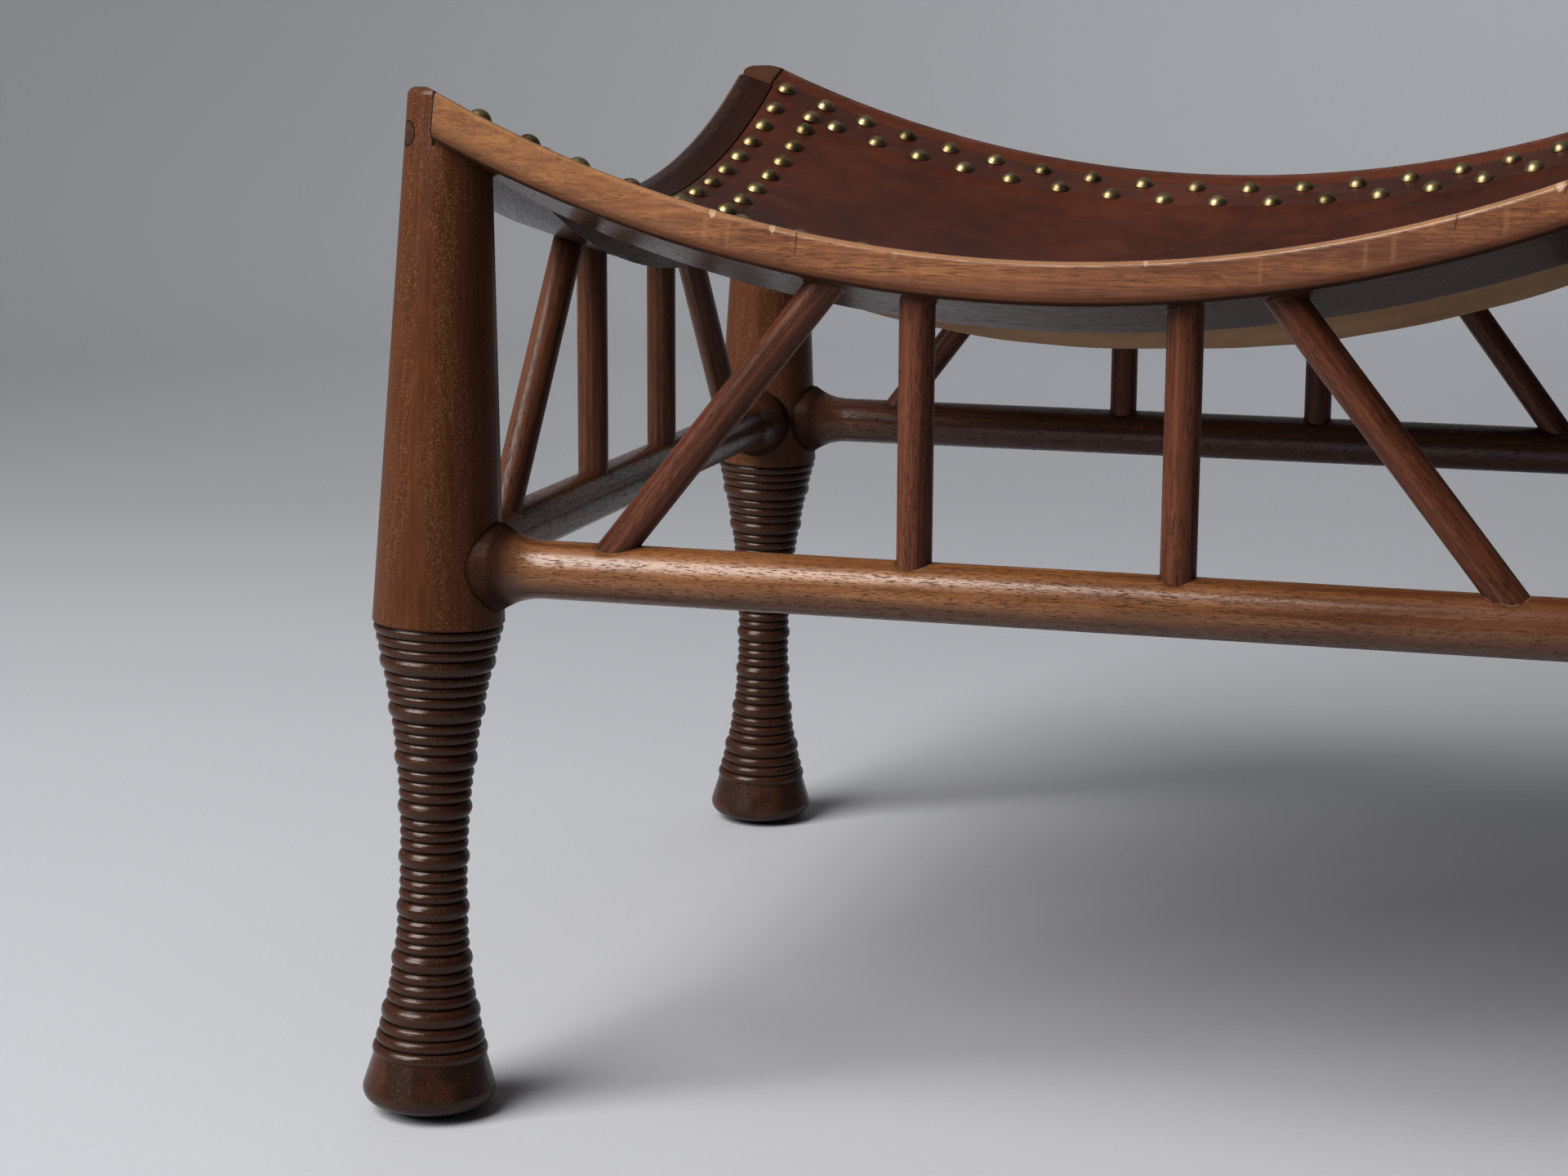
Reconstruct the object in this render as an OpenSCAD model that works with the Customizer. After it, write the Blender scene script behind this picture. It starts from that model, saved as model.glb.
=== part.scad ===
// Thebes stool: four bead-turned legs, flared stretchers, sixteen spindles, a dished
// seat frame of four curved rails, and a sheet of leather held by two rows of brass nails.
// The floor is Z = 0, X runs along the front, Y runs to the back, and the origin is the middle.

/* [Overall] */
// Seat frame width over the outer faces of the side rails, at their top edges
seat_w = 463.4; // [420:0.1:540]
// Seat frame depth over the outer faces of the front and back rails
seat_d = 434.6; // [400:0.1:500]
// Height of the seat frame's outer top edge at the corner mitres
corner_h = 368.3; // [340:0.1:400]
// How far the front rail dips from the corners to its middle
front_dip = 49.7; // [35:0.1:65]
// How far the back rail dips from the corners to its middle
back_dip = 43.6; // [35:0.1:65]
// How far each side rail dips from the corners to its middle
side_dip = 45.6; // [35:0.1:65]
// Distance in from the outer faces at which the corner height is measured
corner_in = 22; // [20:0.1:25]
// Height of the stretcher axes above the floor
stretcher_h = 203.2; // [190:0.1:225]

/* [Legs] */
// Outward lean of each leg to the side, in degrees
splay_x = 1.44; // [0.5:0.01:3]
// Outward lean of each leg to the front or back, in degrees
splay_y = 1.92; // [0.5:0.01:3]
// How far the horn that a leg raises at its corner stands over the rails' top edges
horn_rise = 3.4; // [1:0.1:6]
// Radius of the post at the horn
post_top_r = 14.5; // [12:0.1:18]
// Radius of the post at its lower end, over the turned beads
post_low_r = 23.8; // [20:0.1:28]
// How far the post reaches under the stretcher axes, down to the beads
post_under = 21; // [18:0.1:26]
// How far the leg axis lies inside the seat frame's outer faces at the horn
post_inset = 15.9; // [14:0.1:20]
// Radius that rounds the horn's top edge
horn_round = 3.2; // [1:0.1:6]
// Bevel on the post's lower edge
post_bevel = 0.9; // [0.3:0.1:2]

/* [Turned beads] */
// Number of beads on each leg, every fourth one being large
bead_count = 35; // [19:4:43]
// Height of a large bead as a share of a small one
large_bead_share = 1.56; // [1.2:0.01:2]
// How much taller the lowest beads are than the highest, as a share
bead_growth_share = 0.14; // [0:0.01:0.4]
// Height of the lowest groove, over the foot
last_groove_h = 21.7; // [18:0.1:30]
// Height of the waist, where the turned length is thinnest
waist_h = 95; // [80:0.5:120]
// Groove radius at the waist
waist_r = 11.3; // [9:0.1:15]
// Groove radius right under the post
top_groove_r = 22.7; // [18:0.1:23]
// Groove radius right over the foot
foot_groove_r = 20.6; // [17:0.1:22]
// Power of the curve from the waist up to the post
upper_power = 2.0; // [1.5:0.05:3]
// Power of the curve from the waist down to the foot
lower_power = 2.45; // [1.5:0.05:3]
// Bulge of a bead as a share of its height
bead_bulge_share = 0.27; // [0.15:0.01:0.45]
// Straight steps that draw the arc of a bead
bead_steps = 8; // [4:1:12]

/* [Feet] */
// Largest radius of the foot
foot_r = 24.4; // [22:0.1:30]
// Height of the foot's largest radius
foot_wide_h = 8.4; // [6:0.1:12]
// Radius that rounds the foot under its widest line
foot_round = 5.1; // [3:0.1:7]
// Angle over the widest line at which the foot's conical side begins, in degrees
foot_side_angle = 15; // [5:1:30]
// Angle under the widest line at which the foot's underside begins, in degrees
foot_under_angle = 60; // [45:1:70]
// Radius of the flat that stands on the floor
foot_flat_r = 12.5; // [9:0.1:18]

/* [Stretchers] */
// Radius of a stretcher
stretcher_r = 10.4; // [9:0.1:13]
// Largest radius of the flared end
flare_r = 15.8; // [13:0.1:16]
// Length over which the end flares
flare_l = 16.5; // [10:0.1:25]
// Radius of the round tenon in the leg
tenon_r = 6; // [4:0.1:8]
// Distance from the leg axis to the inner end of the tenon
tenon_stop = 9; // [8.5:0.1:12]

/* [Spindles] */
// Radius of a spindle
spindle_r = 6.15; // [4.5:0.05:8]
// Place of the front and back upright spindles, as a share of the way to the leg
front_upright_share = 0.206; // [0.15:0.001:0.3]
// Place of the side upright spindles, as a share of the way to the leg
side_upright_share = 0.2125; // [0.15:0.001:0.3]
// Place of the front and back slanted spindles' feet, as a share of the way to the leg
front_foot_share = 0.728; // [0.65:0.001:0.76]
// Place of the side slanted spindles' feet, as a share of the way to the leg
side_foot_share = 0.721; // [0.65:0.001:0.74]
// Place of the front and back slanted spindles' heads, as a share of the way to the leg
front_head_share = 0.3555; // [0.33:0.0005:0.45]
// Place of the side slanted spindles' heads, as a share of the way to the leg
side_head_share = 0.34; // [0.33:0.0005:0.45]
// Depth of a spindle's end in the stretcher
foot_socket = 7; // [4:0.1:9]
// Depth of a spindle's end in the rail
head_socket = 7; // [4:0.1:9]
// Clearance round a spindle's end
socket_gap = 0.05; // [0:0.01:0.1]

/* [Rails] */
// Width of a rail across its dished top
rail_w = 50; // [47:0.1:56]
// Thickness of a rail
rail_t = 15; // [13:0.1:18]
// Inward slope of a rail's top, in degrees
cant = 16.5; // [12:0.1:20]
// Radius on a rail's outer edges
rail_round = 2.8; // [1:0.1:5]
// Radius on a rail's lower inner edge
inner_round = 1.5; // [0.5:0.1:3]
// How far the front and back rails' ends stop inside the side rails' outer faces, at the horn
notch_inset = 16.5; // [14.5:0.1:18]
// How much further back the side rails' ends stop, so that the horn hides them from the front
side_set_back = 5; // [0:0.1:6]
// Radius of the peg in the horn's outer corner
peg_r = 4; // [3:0.1:4.5]
// Depth of the peg
peg_l = 10; // [8:0.1:11]
// How far the peg's middle lies under the front or back rail's top edge at the horn
peg_drop = 14.7; // [12:0.1:16]

/* [Leather] */
// Thickness of the leather
leather_t = 2.6; // [2:0.1:3.5]
// Bare wood between the outer edge and the leather
margin = 17.6; // [16.5:0.1:20]
// Depth of the rebate that the leather lies in
rebate = 1.6; // [1:0.1:2]
// Gap between the leather's edge and the rebate
edge_gap = 0.4; // [0.2:0.1:0.8]
// Extra sag at the middle of the seat
sag = 1; // [0:0.5:15]
// Cells of the leather across the opening, each way
leather_cells = 14; // [8:1:18]
// Cells of the leather across each rail
rail_cells = 3; // [2:1:4]

/* [Nails] */
// Diameter of a domed nail head
nail_d = 8.8; // [6:0.1:9]
// Height of a nail head
nail_h = 3.2; // [2:0.1:3.8]
// Radius of a nail's shank
shank_r = 0.7; // [0.5:0.1:1]
// Length of a nail's shank under its head
shank_l = 9; // [6:0.1:10]
// Distance of the outer row from the leather's edge
outer_row_in = 6.2; // [5.5:0.1:7]
// Distance of the inner row from the rail's inner edge, in plan
inner_row_out = 6.9; // [5.5:0.1:9]
// Spaces between the nails of the front outer row
front_spaces = 20; // [14:1:22]
// Spaces between the nails of the back outer row
back_spaces = 19; // [14:1:22]
// Spaces between the nails of each side's outer row
side_spaces = 19; // [14:1:20]
// How much wider the spaces are at the middle of a row, as a share
nail_spread_share = 0.12; // [0:0.01:0.2]
// Gap that keeps a head clear of the leather's facets
head_gap = 0.12; // [0:0.01:0.2]

/* [Hidden] */
$fn = 64;
half_w = seat_w / 2;
half_d = seat_d / 2;
slope = tan(cant);
over = 2;
overlap = 0.5;
arc_steps = 8;
reach = seat_w;
small = 0.01;

// Ends of the tapered post
horn_h = corner_h + horn_rise;
post_low_h = stretcher_h - post_under;

// Where each leg axis meets the floor, from its place at the horn
leg_x = half_w - post_inset + horn_h * tan(splay_x);
leg_y = half_d - post_inset + horn_h * tan(splay_y);
stretch_x = leg_x - stretcher_h * tan(splay_x);
stretch_y = leg_y - stretcher_h * tan(splay_y);

// Radius of each rail's arc through its middle height and the common corner height
front_mid_h = corner_h - front_dip;
back_mid_h = corner_h - back_dip;
side_mid_h = corner_h - side_dip;
function arc_r(half, mid) = (pow(half - corner_in, 2) + pow(corner_h - mid, 2)) / (2 * (corner_h - mid));
front_r = arc_r(half_w, front_mid_h);
back_r = arc_r(half_w, back_mid_h);
side_r = arc_r(half_d, side_mid_h);
front_c = front_mid_h + front_r;
back_c = back_mid_h + back_r;
side_c = side_mid_h + side_r;

// Distance of each row of nails from the outer edge, in plan
outer_row = margin + outer_row_in;
inner_row = rail_w * cos(cant) - inner_row_out;

// Height of a rail's dished top at a place along it and a distance in from its outer edge
function top_h(c, r, along, inward, lift) =
    c - sqrt(pow(r + inward * slope - lift / cos(cant), 2) - along * along);

// Points of an arc round a centre
function arc(centre, r, from, to) = [
    for (i = [0:arc_steps])
        let (angle = from + (to - from) * i / arc_steps)
        centre + r * [cos(angle), sin(angle)]
];

// Turned beads: three small ones and a large one, again and again, ending in three small ones
function bead_share(i) =
    (i % 4 == 3 ? large_bead_share : 1) * (1 + bead_growth_share * (i / (bead_count - 1) - 0.5));
function shares_before(n) = n <= 0 ? 0 : bead_share(n - 1) + shares_before(n - 1);
turned_l = post_low_h - last_groove_h;
function groove_h(i) = post_low_h - turned_l * shares_before(i) / shares_before(bead_count);
function groove_r(h) = h > waist_h
    ? waist_r + (top_groove_r - waist_r) * pow((h - waist_h) / (post_low_h - waist_h), upper_power)
    : waist_r + (foot_groove_r - waist_r) * pow((waist_h - h) / (waist_h - last_groove_h), lower_power);
function groove(i) = [groove_r(groove_h(i)), groove_h(i)];

// Points of a bead's arc, from its upper groove to just before its lower one
function bead(high, low) =
    let (
        half = norm(low - high) / 2,
        bulge = 2 * half * bead_bulge_share,
        r = (half * half + bulge * bulge) / (2 * bulge),
        down = (low - high) / (2 * half),
        outward = [-down[1], down[0]],
        centre = (low + high) / 2 - outward * (r - bulge),
        swing = asin(half / r)
    )
    [for (i = [0:bead_steps - 1])
        let (angle = swing * (2 * i / bead_steps - 1))
        centre + r * (outward * cos(angle) + down * sin(angle))];

// Half outline of a leg: horn, tapered post, beads, the groove over the foot, and the foot
module leg_outline() {
    horn = [post_top_r - horn_round, horn_h - horn_round];
    foot = [foot_r - foot_round, foot_wide_h];
    foot_arc = arc(foot, foot_round, foot_side_angle, -foot_under_angle);
    under = foot_arc[arc_steps];
    out_per_h = (under[0] - foot_flat_r) / under[1];
    polygon(concat(
        [[0, horn_h]],
        arc(horn, horn_round, 90, 0),
        [[post_low_r, post_low_h + post_bevel], [post_low_r - post_bevel, post_low_h]],
        [for (i = [0:bead_count - 1]) each bead(groove(i), groove(i + 1))],
        [groove(bead_count)],
        foot_arc,
        [[foot_flat_r - over * out_per_h, -over], [0, -over]]
    ));
}

// Stands a leg's own axis at its corner, leaning outwards to the floor
module lean(sx, sy) {
    translate([sx * leg_x, sy * leg_y, 0])
        rotate([sy * splay_y, -sx * splay_x, 0])
            children();
}

// The post alone, as the stretchers' flared ends are cut to saddle it
module post_core(sx, sy) {
    lean(sx, sy)
        rotate_extrude()
            polygon([
                [0, post_low_h + post_bevel],
                [post_low_r, post_low_h + post_bevel],
                [post_top_r, horn_h - horn_round],
                [0, horn_h - horn_round]
            ]);
}

// Section of a rail: depth under its top runs along X and width inwards runs along Y.
// A raised section is open at the top, to cut the rail's seat out of a leg.
module rail_section(raise) {
    low = rail_t - rail_round;
    inner = [rail_t - inner_round, rail_w - inner_round];
    polygon(concat(
        raise > 0
            ? [[-raise, 0]]
            : arc([rail_round, rail_round], rail_round, 180, 270),
        arc([low, rail_round], rail_round, 270, 360),
        arc(inner, inner_round, 0, 90),
        raise > 0
            ? [[-raise, rail_w]]
            : [[rebate, rail_w], [rebate, margin - edge_gap], [0, margin - edge_gap]]
    ));
}

// Plan of a rail: square ends at the horns, then mitres at the inner corners
module rail_plan(half, half_across, set_back) {
    square_end = half - notch_inset - set_back;
    square_side = half_across - notch_inset - set_back;
    run = rail_w;
    polygon([
        [-square_end, half_across + over * rail_t],
        [square_end, half_across + over * rail_t],
        [square_end, square_side],
        [square_end - run, square_side - run],
        [run - square_end, square_side - run],
        [-square_end, square_side]
    ]);
}

// Sweep round the rail's arc, as it lies at the back
module arc_sweep(half, half_across, r, c) {
    swing = asin(half / r) + cant;
    translate([0, half_across, c])
        rotate([90, 0, 0])
            rotate([0, 0, -90 - swing])
                rotate_extrude(angle = 2 * swing)
                    translate([r, 0])
                        rotate(-cant)
                            children();
}

module rail_blank(half, half_across, r, c, set_back, raise) {
    intersection() {
        arc_sweep(half, half_across, r, c)
            rail_section(raise);
        linear_extrude(height = 2 * horn_h)
            rail_plan(half, half_across, set_back);
    }
}

// Puts what is built at the back at any side: 0 back, 1 left, 2 front, 3 right
module at_side(side) {
    rotate([0, 0, 90 * side])
        children();
}
function half_of(side) = side % 2 == 0 ? half_w : half_d;
function across_of(side) = side % 2 == 0 ? half_d : half_w;
function r_of(side) = side == 0 ? back_r : side == 2 ? front_r : side_r;
function c_of(side) = side == 0 ? back_c : side == 2 ? front_c : side_c;
function set_back(side) = side % 2 == 0 ? 0 : side_set_back;
function stretch_along(side) = side % 2 == 0 ? stretch_x : stretch_y;
function stretch_across(side) = side % 2 == 0 ? stretch_y : stretch_x;
function upright_share(side) = side % 2 == 0 ? front_upright_share : side_upright_share;
function foot_share(side) = side % 2 == 0 ? front_foot_share : side_foot_share;
function head_share(side) = side % 2 == 0 ? front_head_share : side_head_share;

module rail_body(side, raise) {
    at_side(side)
        rail_blank(half_of(side), across_of(side), r_of(side), c_of(side), set_back(side), raise);
}

// All that lies over the dished top of one side, to trim the horns
module dish_cut(side) {
    r = r_of(side);
    far = across_of(side);
    at_side(side)
        translate([0, across_of(side), c_of(side)])
            rotate([90, 0, 0])
                rotate_extrude()
                    polygon([
                        [0, -rail_w],
                        [r - rail_w * slope, -rail_w],
                        [r + far * slope, far],
                        [0, far]
                    ]);
}

// Spindle k of a side: 0 and 3 slant inwards, 1 and 2 stand upright
function is_slanted(k) = k == 0 || k == 3;
function spindle_place(side, k, share) = (k < 2 ? -1 : 1) * share * stretch_along(side);
function foot_of(side, k) = spindle_place(side, k, is_slanted(k) ? foot_share(side) : upright_share(side));
function head_of(side, k) = spindle_place(side, k, is_slanted(k) ? head_share(side) : upright_share(side));

// Height of the rail's underside over the stretcher's axis, at the spindle's head
function spindle_rise(side, k) =
    let (inward = across_of(side) - stretch_across(side))
    top_h(c_of(side), r_of(side), head_of(side, k), inward, -rail_t) - stretcher_h;
function lean_of(side, k) = atan((head_of(side, k) - foot_of(side, k)) / spindle_rise(side, k));
function spindle_l(side, k) = spindle_rise(side, k) / cos(lean_of(side, k));

module spindle(side, k, gap) {
    start = stretcher_r / cos(lean_of(side, k)) - foot_socket;
    at_side(side)
        translate([foot_of(side, k), stretch_across(side), stretcher_h])
            rotate([0, lean_of(side, k), 0])
                translate([0, 0, start - gap])
                    cylinder(r = spindle_r + gap, h = spindle_l(side, k) + head_socket - start + 2 * gap);
}

module tenon(side, end, gap) {
    stop = tenon_stop - gap;
    at_side(side)
        translate([end * (stretch_along(side) - stop), stretch_across(side), stretcher_h])
            rotate([0, -90 * end, 0])
                cylinder(r = tenon_r + gap, h = post_low_r + flare_l - stop);
}

// A stretcher along its axis, with an end that flares up to the post
module stretcher_outline(along) {
    start = along - post_low_r - flare_l;
    bend = (flare_l * flare_l + pow(flare_r - stretcher_r, 2)) / (2 * (flare_r - stretcher_r));
    square([stretcher_r, start + small]);
    difference() {
        translate([0, start])
            square([flare_r, flare_l + post_low_r - tenon_stop - over]);
        translate([stretcher_r + bend, start])
            circle(r = bend);
    }
}

module stretcher(side) {
    along = stretch_along(side);
    difference() {
        union() {
            difference() {
                at_side(side)
                    translate([0, stretch_across(side), stretcher_h])
                        for (end = [-1, 1])
                            rotate([0, 90 * end, 0])
                                rotate_extrude()
                                    stretcher_outline(along);
                at_side(side)
                    for (end = [-1, 1])
                        post_at(side, end);
            }
            for (end = [-1, 1])
                tenon(side, end, 0);
        }
        for (k = [0:3])
            spindle(side, k, socket_gap);
    }
}

// The post at one end of the back, turned back from the side that asks for it
module post_at(side, end) {
    rotate([0, 0, -90 * side]) {
        if (side == 0) post_core(end, 1);
        if (side == 1) post_core(-1, end);
        if (side == 2) post_core(-end, -1);
        if (side == 3) post_core(1, -end);
    }
}

module rail(side) {
    difference() {
        rail_body(side, 0);
        for (k = [0:3])
            spindle(side, k, socket_gap);
    }
}

// The peg's hole runs level into the horn's outer corner, and the peg ends flush with the horn
function peg_h(sy) =
    top_h(sy > 0 ? back_c : front_c, sy > 0 ? back_r : front_r, half_w - notch_inset, notch_inset, 0)
    + notch_inset * slope - peg_drop;
function post_r(h) = post_top_r + (post_low_r - post_top_r) * (horn_h - h) / (horn_h - post_low_h);

module peg_hole(sx, sy) {
    h = peg_h(sy);
    translate([sx * (leg_x - h * tan(splay_x)), sy * (leg_y - h * tan(splay_y)), h])
        rotate([0, 0, atan2(sy, sx)])
            translate([post_r(h) - peg_l, 0, 0])
                rotate([0, 90, 0])
                    cylinder(r = peg_r, h = 2 * peg_l);
}

module peg(sx, sy) {
    intersection() {
        peg_hole(sx, sy);
        post_core(sx, sy);
    }
}

module leg(sx, sy) {
    end_side = sy > 0 ? 0 : 2;
    flank_side = sx < 0 ? 1 : 3;
    difference() {
        lean(sx, sy)
            rotate_extrude()
                leg_outline();
        translate([-reach, -reach, -reach])
            cube([2 * reach, 2 * reach, reach]);
        dish_cut(end_side);
        dish_cut(flank_side);
        rail_body(end_side, rail_w);
        rail_body(flank_side, rail_w);
        for (end = [-1, 1]) {
            tenon(end_side, end, socket_gap);
            tenon(flank_side, end, socket_gap);
        }
        peg_hole(sx, sy);
    }
}

// Leather: its rim lies on the rails and its middle hangs between them
rim_x = half_w - margin;
rim_y = half_d - margin;
inner_x = half_w - rail_w * cos(cant);
inner_y = half_d - rail_w * cos(cant);
grid = leather_cells + 2 * rail_cells;

function grid_place(i, rim, inner) =
    i <= rail_cells ? -rim + (rim - inner) * i / rail_cells
    : i >= grid - rail_cells ? rim - (rim - inner) * (grid - i) / rail_cells
    : -inner + 2 * inner * (i - rail_cells) / leather_cells;

function end_h(x, y, lift) = y < 0
    ? top_h(front_c, front_r, x, half_d + y, lift)
    : top_h(back_c, back_r, x, half_d - y, lift);
function flank_h(x, y, lift) = top_h(side_c, side_r, y, half_w - abs(x), lift);

// Share of the way across the opening, from -half to half
function opening_share(place, half) = (place / half + 1) / 2;

// On the rails the leather follows the nearer rail, and between them it joins their inner edges
function hang_h(x, y, lift) =
    let (
        u = opening_share(x, inner_x),
        v = opening_share(y, inner_y),
        front = end_h(x, -inner_y, lift),
        back = end_h(x, inner_y, lift),
        flank = flank_h(inner_x, y, lift),
        corner_f = end_h(inner_x, -inner_y, lift),
        corner_b = end_h(inner_x, inner_y, lift)
    )
    (1 - v) * (front - corner_f) + v * (back - corner_b) + flank - 16 * sag * u * (1 - u) * v * (1 - v);
function leather_h(x, y, lift) =
    let (
        in_x = half_w - abs(x),
        in_y = half_d - abs(y)
    )
    min(in_x, in_y) > rail_w * cos(cant) + small ? hang_h(x, y, lift)
    : abs(in_x - in_y) < small ? max(end_h(x, y, lift), flank_h(x, y, lift))
    : in_y < in_x ? end_h(x, y, lift)
    : flank_h(x, y, lift);

function leather_layer(lift) = [
    for (j = [0:grid]) for (i = [0:grid])
        let (
            x = grid_place(i, rim_x, inner_x),
            y = grid_place(j, rim_y, inner_y)
        )
        [x, y, leather_h(x, y, lift)]
];

module seat_leather() {
    row = grid + 1;
    layer = row * row;
    rim = concat(
        [for (i = [0:grid - 1]) i],
        [for (j = [0:grid - 1]) grid + j * row],
        [for (i = [0:grid - 1]) layer - 1 - i],
        [for (j = [0:grid - 1]) (grid - j) * row]
    );
    color("saddlebrown")
        polyhedron(
            points = concat(leather_layer(leather_t - rebate), leather_layer(-rebate + small)),
            faces = concat(
                [for (j = [0:grid - 1]) for (i = [0:grid - 1]) for (half = [0, 1])
                    let (
                        a = j * row + i,
                        rising = (i < grid / 2) == (j < grid / 2)
                    )
                    rising
                        ? (half == 0 ? [a, a + row + 1, a + 1] : [a, a + row, a + row + 1])
                        : (half == 0 ? [a, a + row, a + 1] : [a + 1, a + row, a + row + 1])],
                [for (j = [0:grid - 1]) for (i = [0:grid - 1]) for (half = [0, 1])
                    let (
                        a = layer + j * row + i,
                        rising = (i < grid / 2) == (j < grid / 2)
                    )
                    rising
                        ? (half == 0 ? [a, a + 1, a + row + 1] : [a, a + row + 1, a + row])
                        : (half == 0 ? [a, a + 1, a + row] : [a + 1, a + row + 1, a + row])],
                [for (n = [0:len(rim) - 1]) for (half = [0, 1])
                    let (
                        a = rim[n],
                        b = rim[(n + 1) % len(rim)]
                    )
                    half == 0 ? [a, b, b + layer] : [a, b + layer, a + layer]]
            )
        );
}

// A nail: a dome that is part of a sphere, over a thin shank
module nail() {
    r = (nail_d * nail_d / 4 + nail_h * nail_h) / (2 * nail_h);
    color("darkgoldenrod")
        rotate_extrude() {
            intersection() {
                translate([0, nail_h - r])
                    circle(r = r);
                square([nail_d, nail_h + over]);
            }
            translate([0, -shank_l])
                square([shank_r, shank_l + overlap]);
        }
}

// Sets a nail on the leather over a rail, square to the slope
module nail_at(side, place, inward) {
    r = r_of(side) + inward * slope;
    lift = (leather_t - rebate + head_gap) / cos(cant);
    at_side(side)
        translate([0, across_of(side) - inward, c_of(side)])
            rotate([0, asin(place / r), 0])
                translate([0, 0, lift - r])
                    rotate([cant, 0, 0])
                        nail();
}

// Place of nail i in a row of n spaces, from -1 to 1, with wider spaces at the middle
function spread(t) = t + nail_spread_share * sin(180 * t) / PI;
function row_share(i, n) = spread(2 * i / n - 1);
function spaces_of(side) = side == 0 ? back_spaces : side == 2 ? front_spaces : side_spaces;

// The end rows take the corner nails and the flank rows stop one space short of them
module outer_nails(side) {
    n = spaces_of(side);
    skip = side % 2;
    for (i = [skip:n - skip])
        nail_at(side, -(half_of(side) - outer_row) * row_share(i, n), outer_row);
}

module inner_nails(side) {
    n = spaces_of(side);
    for (i = [1:n - 2])
        nail_at(side, -(half_of(side) - outer_row) * row_share(i + 0.5, n), inner_row);
    if (side % 2 == 0)
        for (end = [-1, 1])
            nail_at(side, end * (half_of(side) - inner_row), inner_row);
}

module leg_front_left() {
    color("sienna") leg(-1, -1);
}
module leg_front_right() {
    color("sienna") leg(1, -1);
}
module leg_back_left() {
    color("sienna") leg(-1, 1);
}
module leg_back_right() {
    color("sienna") leg(1, 1);
}
module stretcher_part(side) {
    color("peru") stretcher(side);
}
module rail_part(side) {
    color("peru") rail(side);
}
module spindle_part(side, k) {
    color("saddlebrown") spindle(side, k, 0);
}
module peg_part(sx, sy) {
    color("saddlebrown") peg(sx, sy);
}

leg_front_left();
leg_front_right();
leg_back_left();
leg_back_right();
stretcher_part(2);  // stretcher_front
stretcher_part(0);  // stretcher_back
stretcher_part(1);  // stretcher_left
stretcher_part(3);  // stretcher_right
rail_part(2);  // rail_front
rail_part(0);  // rail_back
rail_part(1);  // rail_left
rail_part(3);  // rail_right
spindle_part(2, 3);  // spindle_front_1
spindle_part(2, 2);  // spindle_front_2
spindle_part(2, 1);  // spindle_front_3
spindle_part(2, 0);  // spindle_front_4
spindle_part(0, 0);  // spindle_back_1
spindle_part(0, 1);  // spindle_back_2
spindle_part(0, 2);  // spindle_back_3
spindle_part(0, 3);  // spindle_back_4
spindle_part(1, 3);  // spindle_left_1
spindle_part(1, 2);  // spindle_left_2
spindle_part(1, 1);  // spindle_left_3
spindle_part(1, 0);  // spindle_left_4
spindle_part(3, 0);  // spindle_right_1
spindle_part(3, 1);  // spindle_right_2
spindle_part(3, 2);  // spindle_right_3
spindle_part(3, 3);  // spindle_right_4
peg_part(-1, -1);  // peg_front_left
peg_part(1, -1);  // peg_front_right
peg_part(-1, 1);  // peg_back_left
peg_part(1, 1);  // peg_back_right
seat_leather();
outer_nails(2);  // nails_front_outer
inner_nails(2);  // nails_front_inner
outer_nails(0);  // nails_back_outer
inner_nails(0);  // nails_back_inner
outer_nails(1);  // nails_left_outer
inner_nails(1);  // nails_left_inner
outer_nails(3);  // nails_right_outer
inner_nails(3);  // nails_right_inner
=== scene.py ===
import functools
import math
import random

import bpy
import numpy as np
from mathutils import Matrix, Vector


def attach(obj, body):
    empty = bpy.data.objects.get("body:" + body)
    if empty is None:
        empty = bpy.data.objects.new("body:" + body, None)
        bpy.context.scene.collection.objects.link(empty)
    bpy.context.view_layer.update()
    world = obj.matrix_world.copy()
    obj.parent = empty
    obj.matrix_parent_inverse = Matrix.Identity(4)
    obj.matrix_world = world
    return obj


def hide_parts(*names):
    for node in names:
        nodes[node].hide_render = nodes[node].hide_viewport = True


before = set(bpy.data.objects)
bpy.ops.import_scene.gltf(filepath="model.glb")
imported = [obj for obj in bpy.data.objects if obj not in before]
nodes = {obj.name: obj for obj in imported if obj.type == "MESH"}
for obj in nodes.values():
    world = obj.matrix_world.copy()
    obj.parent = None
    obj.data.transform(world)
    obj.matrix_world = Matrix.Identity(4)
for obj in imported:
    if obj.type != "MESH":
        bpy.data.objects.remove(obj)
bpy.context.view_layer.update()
scene = bpy.context.scene

# Sizes that the CAD part has too, in metres

# Seat frame: half its width and depth, the corners and middles of its dished tops, and a rail's section
HALF_W, HALF_D = 0.2317, 0.2173
CORNER_H, CORNER_IN = 0.3683, 0.022
MID_H = {"front": 0.3186, "back": 0.3247, "left": 0.3227, "right": 0.3227}
CANT = math.radians(16.5)
RAIL_W, RAIL_T = 0.050, 0.015
NOTCH_INSET, SIDE_SET_BACK = 0.0165, 0.005

# Legs: splay, horn, tapered post and peg
SPLAY_X, SPLAY_Y = math.radians(1.44), math.radians(1.92)
HORN_H, POST_INSET = 0.3717, 0.0159
POST_LOW_H, POST_LOW_R, POST_TOP_R = 0.1822, 0.0238, 0.0145
PEG_R, PEG_DROP = 0.004, 0.0147

# Stretchers with their flares, and spindles: the upright ones, and the slanting ones' feet and heads
STRETCHER_H, STRETCHER_R, FLARE_R = 0.2032, 0.0104, 0.0158
SPINDLE_R = 0.00615
UPRIGHT_X, SLANT_FOOT_X, SLANT_HEAD_X = 0.0453, 0.1602, 0.0782
UPRIGHT_Y, SLANT_FOOT_Y, SLANT_HEAD_Y = 0.0440, 0.1493, 0.0704

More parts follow.
